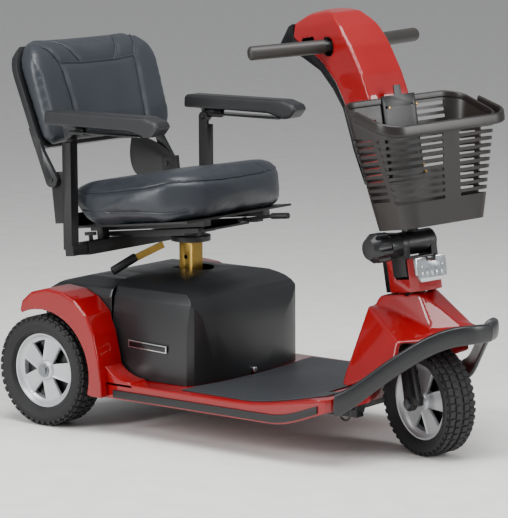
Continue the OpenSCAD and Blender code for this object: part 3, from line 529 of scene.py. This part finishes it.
def bumper_half():
    """The near half of the bumper, from the deck's edge round to the nose, thinning as it goes."""
    sections = []
    line = eased([(352, -250, 138), (388, -230, 160), (444, -178, 214), (496, -124, 258), (536, -84, 279),
                  (568, -42, 284), (579, 0, 283)])
    for i, p in enumerate(line):
        along = line[i + 1] - line[max(i - 1, 0)] if i < len(line) - 1 else Vector((0, 1, 0))
        out = Vector((along.y, -along.x, 0)).normalized()
        h = 25 - 6 * i / len(line)
        sections.append([(p + out * a + Vector((0, 0, h * b))) / 1000 for a, b in bumper_section])
    return skinned("bumper_half", sections)


near_half = bumper_half()
far_half = again(near_half, Matrix.Scale(-1, 4, (0, 1, 0)), "far_half")
bumper = outward(joined([near_half, far_half]))
modify(bumper, "BEVEL", width=0.003, segments=2, limit_method="ANGLE", angle_limit=math.radians(40))
modify(bumper, "SUBSURF", levels=1)
finish_piece(bumper, "wraparound_bumper", "chassis", "black_shell", 60)
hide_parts("front_bumper")


corner_steps = 8
loop_points = 4 * (corner_steps + 1)
base_height = 505


def rounded_loop(u0, u1, half, r, w):
    """A rounded rectangle in the steering frame at height w, in mm."""
    loop = []
    corners = (u1 - r, half - r, 0), (u0 + r, half - r, 90), (u0 + r, r - half, 180), (u1 - r, r - half, 270)
    for cu, cv, start in corners:
        for k in range(corner_steps + 1):
            a = math.radians(start + 90 * k / corner_steps)
            loop.append((cu + r * math.cos(a), cv + r * math.sin(a), w))
    return loop


def rim_height(u):
    """The rim leans 22 degrees down to the front."""
    return 784 - (u - 12) * math.tan(math.radians(22))


def wall_loop(w, grow=0.0):
    """The basket's outline at height w: it widens from the base to the rim."""
    t = (w - base_height) / 295
    return rounded_loop(22 - grow, 150 + 46 * t + grow, 104 + 60 * t + grow, 30 + 16 * t, w)


def rim_loop(drop, grow=0.0):
    """The outline along the leaning rim, drop below it: each point is found in three rounds, as both lean."""
    loop = []
    for i in range(loop_points):
        u = wall_loop(740, grow)[i][0]
        for _ in range(3):
            w = rim_height(u) - drop
            u, v, _ = wall_loop(w, grow)[i]
        loop.append((u, v, w))
    return loop


def slot_cutter(u0, u1, v0, v1, w):
    """A slot with rounded ends through a wall."""
    middle = mm((u0 + u1) / 2, (v0 + v1) / 2, w)
    return block("slot", (u1 - u0, v1 - v0, 7.4), middle, 2.4, 2)


wall_loops = (wall_loop(base_height), wall_loop(560), wall_loop(640), rim_loop(20), rim_loop(0))
shell = skinned("basket_shell", [[mm(*p) for p in loop] for loop in wall_loops], capped=False)
deselected(shell)
for v in shell.data.vertices:
    v.select = v.co.z < (base_height + 0.1) / 1000
bpy.ops.object.mode_set(mode="EDIT")
bpy.ops.mesh.select_mode(type="VERT")
bpy.ops.mesh.edge_face_add()
bpy.ops.object.mode_set(mode="OBJECT")
outward(shell)
modify(shell, "SOLIDIFY", thickness=0.0034, offset=-1)
# Rows of slots: two runs that wrap the front corners, one in each side wall and two in the back wall.
cutters = []
for row in range(10):
    w = 563 + 14.6 * row
    cutters += [slot_cutter(127, 240, -170, -12, w - 4), slot_cutter(112, 240, 30, 190, w - 4),
                slot_cutter(40, 113, -200, -60, w + 4), slot_cutter(40, 96, 60, 200, w + 4),
                slot_cutter(6, 40, 34, 122, w + 62), slot_cutter(6, 40, -122, -62, w + 40)]
slots = joined(cutters)
modify(shell, "BOOLEAN", operation="DIFFERENCE", solver="EXACT", object=slots)
bpy.data.objects.remove(slots)
finish_piece(moved(shell, steering), "slotted_basket", "basket", "basket_plastic")
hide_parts("basket")


def band(name, loop, height, thick, closed=True):
    """A flat band with rounded edges along a loop in the steering frame, in mm."""
    return moved(swept(name, [Vector(point) / 1000 for point in loop], closed, extrude=height / 2000,
                       bevel_depth=thick / 2000, bevel_resolution=3, twist_mode="Z_UP"), steering)


rim_band = band("rim_band", rim_loop(6, 0.5), 9, 6)
finish_piece(rim_band, "basket_rim", "basket", "basket_plastic", 50)
# The folded handle lies round the front half of the rim and ends at its pins.
front_loop = rim_loop(2, 15)
front_run = front_loop[-corner_steps - 1:] + front_loop[:corner_steps + 1]
pin_u = 92
near_end, far_end = [(pin_u, front_run[k][1], rim_height(pin_u) - 2) for k in (0, -1)]
handle = band("handle", [near_end] + front_run + [far_end], 15, 8, closed=False)
finish_piece(handle, "folded_handle", "basket_handle", "basket_plastic", 50)
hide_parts("basket_handle")


# ---------- small fittings ----------

def at_steering(u, v, w, spin=Matrix.Identity(4)):
    """A place in the steering frame, in mm, turned by spin."""
    return steering @ Matrix.Translation(mm(u, v, w)) @ spin


ahead = Matrix.Rotation(math.radians(90), 4, "Y")
for i, (v, w) in enumerate(((-26, 759), (47, 760), (46, 630), (49, 614))):
    screw = disc("screw", 3.4, 2.5, at_steering(26, v, w, ahead), 0.8, 20)
    finish_piece(screw, f"basket_screw_{i}", "basket", "brass")
for i in range(5):
    cell = block("cell", (2, 11, 13), at_steering(67, -26 + 13 * i, 397), 1.5)
    finish_piece(cell, f"reflector_cell_{i}", "tiller", "lamp_silver")
latch = block("latch", (5, 22, 9), at_steering(66, 0, 431), 1.5)
finish_piece(latch, "headlight_latch", "tiller", "gloss_black")
for i, v in enumerate((-27, 27)):
    screw = disc("screw", 2.2, 2, at_steering(69.4, v, 414, ahead), 0.5, 20)
    finish_piece(screw, f"headlight_screw_{i}", "tiller", "chrome")
lever_tip, lever_root = mm(-346, -150, 350), mm(-284, -46, 414)
lever_line = lever_tip - lever_root
sleeve = disc("sleeve", 10.2, 64, Matrix.Translation(lever_tip - lever_line.normalized() * 0.029) @
              lever_line.to_track_quat("Z", "Y").to_matrix().to_4x4(), 2)
finish_piece(sleeve, "swivel_lever_grip", "swivel_lever", "strip_rubber")
badge_lean = Matrix.Rotation(math.radians(2), 4, "Y")
badge = block("badge", (112, 2, 17), Matrix.Translation(mm(-201, -204.6, 198)) @ badge_lean, 3)
finish_piece(badge, "blank_badge", "chassis", "lamp_silver")
face = block("face", (106, 2, 12), Matrix.Translation(mm(-201, -205.3, 198)) @ badge_lean, 2)
finish_piece(face, "blank_badge_face", "chassis", "gloss_black")
knob = disc("knob", 7, 9, Matrix.Translation(mm(-57, 0, 131)) @ ahead, 2)
finish_piece(knob, "charger_cap", "chassis", "chrome")
label = block("label", (1, 34, 14), seat_frame @ Matrix.Translation(mm(0, -110, 27)) @
              Matrix.Rotation(math.radians(90), 4, "Z"))
finish_piece(label, "rail_label", "seat", "label")


# ---------- stuffed cushions ----------

cloth_steps = 20
most_swell = 0.006  # the furthest that a point of the cover may move, in metres
seam_reach, seam_depth = 0.016, 0.0045  # how far from a seam the cover dips, and how deep
cord_radius, cord_lift = 0.0022, 0.0006


def stuffed(node, name, rounding, seams):
    """The node's cushion, blown up a little as cloth between its piped seams."""
    piece = merged_copy(node, flat=0)
    modify(piece, "REMESH", mode="VOXEL", voxel_size=0.007, use_smooth_shade=True)
    modify(piece, "SMOOTH", factor=0.5, iterations=rounding)
    before = [v.co.copy() for v in piece.data.vertices]
    cloth = piece.modifiers.new("cloth", "CLOTH")
    cloth.settings.quality = 5
    cloth.settings.use_pressure = True
    cloth.settings.uniform_pressure_force = 3.0
    cloth.settings.tension_stiffness = cloth.settings.compression_stiffness = 15
    cloth.settings.effector_weights.gravity = 0
    cloth.collision_settings.use_self_collision = False
    cloth.point_cache.frame_start, cloth.point_cache.frame_end = 1, cloth_steps
    for step in range(1, cloth_steps + 1):
        bpy.context.scene.frame_set(step)
    pick(piece)
    bpy.ops.object.modifier_apply(modifier=cloth.name)
    bpy.context.scene.frame_set(1)
    for v, rest in zip(piece.data.vertices, before):
        shift = v.co - rest
        if shift.length > most_swell:
            v.co = rest + shift.normalized() * most_swell
    tree = BVHTree.FromObject(piece, bpy.context.evaluated_depsgraph_get())
    lines = [[tree.find_nearest(p)[0] for p in line] for line in seams]
    for v in piece.data.vertices:
        near = min(min((v.co - p).length for p in line) for line in lines)
        if near < seam_reach:
            v.co -= v.normal * seam_depth * (1 - near / seam_reach) ** 2
    modify(piece, "SUBSURF", levels=1)
    finish_piece(piece, name, body_of[node], "vinyl", 60)
    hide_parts(node)
    tree = BVHTree.FromObject(piece, bpy.context.evaluated_depsgraph_get())
    cords = []
    for i, line in enumerate(lines):
        on_cover = [tree.find_nearest(p)[:2] for p in line]
        cords.append(swept(f"{name}_cord{i}", [spot + normal * cord_lift for spot, normal in on_cover],
                           bevel_depth=cord_radius, bevel_resolution=2))
    finish_piece(joined(cords), name + "_piping", body_of[node], "vinyl")


def line_through(place, points, step=6):
    """Points every few mm along the straight runs between the given points, in mm in the frame place."""
    found = []
    for a, b in zip(points, points[1:]):
        a, b = Vector(a), Vector(b)
        count = max(int((b - a).length / step), 1)
        found += [place @ ((a + (b - a) * i / count) / 1000) for i in range(count)]
    return found + [place @ (Vector(points[-1]) / 1000)]


def both(points):
    """The run and its mirror image."""
    return [points, [(x, -y, z) for x, y, z in points]]


seat_seams = [line_through(seat_frame, run) for run in
              [[(150, -176, 128), (164, -130, 130), (172, -70, 132), (174, 0, 133), (172, 70, 132),
                (164, 130, 130), (150, 176, 128)]]
              + both([(150, 176, 128), (60, 214, 120), (-60, 222, 116), (-150, 216, 112), (-190, 170, 106)])
              + both([(150, 176, 50), (60, 220, 50), (-60, 226, 55), (-140, 222, 66)])]
back_seams = [line_through(back_frame, run) for run in
              [[(45, -59, 253), (48, 0, 253), (45, 59, 253)]]
              + both([(30, 112, 325), (45, 59, 253)])
              + both([(30, 170, 318), (48, 132, 258), (46, 123, 165), (40, 120, 90)])
              + both([(45, 59, 253), (47, 132, 258)])]
stuffed("seat_cushion", "seat_vinyl", 44, seat_seams)
stuffed("back_cushion", "backrest_vinyl", 14, back_seams)


# ---------- floor and light ----------

bpy.ops.mesh.primitive_plane_add(size=30)
floor = bpy.context.object
floor.name = "floor"
floor.data.materials.append(finish("pale floor", "F4F3F0", 0.7, grain=0.05))


def soft_light(name, place, target, size, power):
    """A wide soft lamp at place, turned to the target."""
    lamp = bpy.data.lights.new(name, "AREA")
    lamp.shape, lamp.size, lamp.size_y, lamp.energy = "RECTANGLE", size[0], size[1], power
    lamp_object = placed(lamp, name)
    lamp_object.location = place
    lamp_object.rotation_euler = (Vector(target) - Vector(place)).to_track_quat("-Z", "Y").to_euler()


soft_light("ceiling", (0.6, -0.6, 3.2), (0, 0, 0.4), (2.6, 2.0), 150)
soft_light("left_window", (-1.2, -3.6, 1.9), (0, 0, 0.5), (0.9, 2.2), 115)
soft_light("front_window", (3.6, 0.8, 1.7), (0.2, 0, 0.5), (0.9, 1.8), 75)
world = bpy.data.worlds.new("room")
world.use_nodes = True
sky = world.node_tree.nodes["Background"]
sky.inputs["Color"].default_value = (0.86, 0.88, 0.9, 1)
sky.inputs["Strength"].default_value = 0.42
bpy.context.scene.world = world
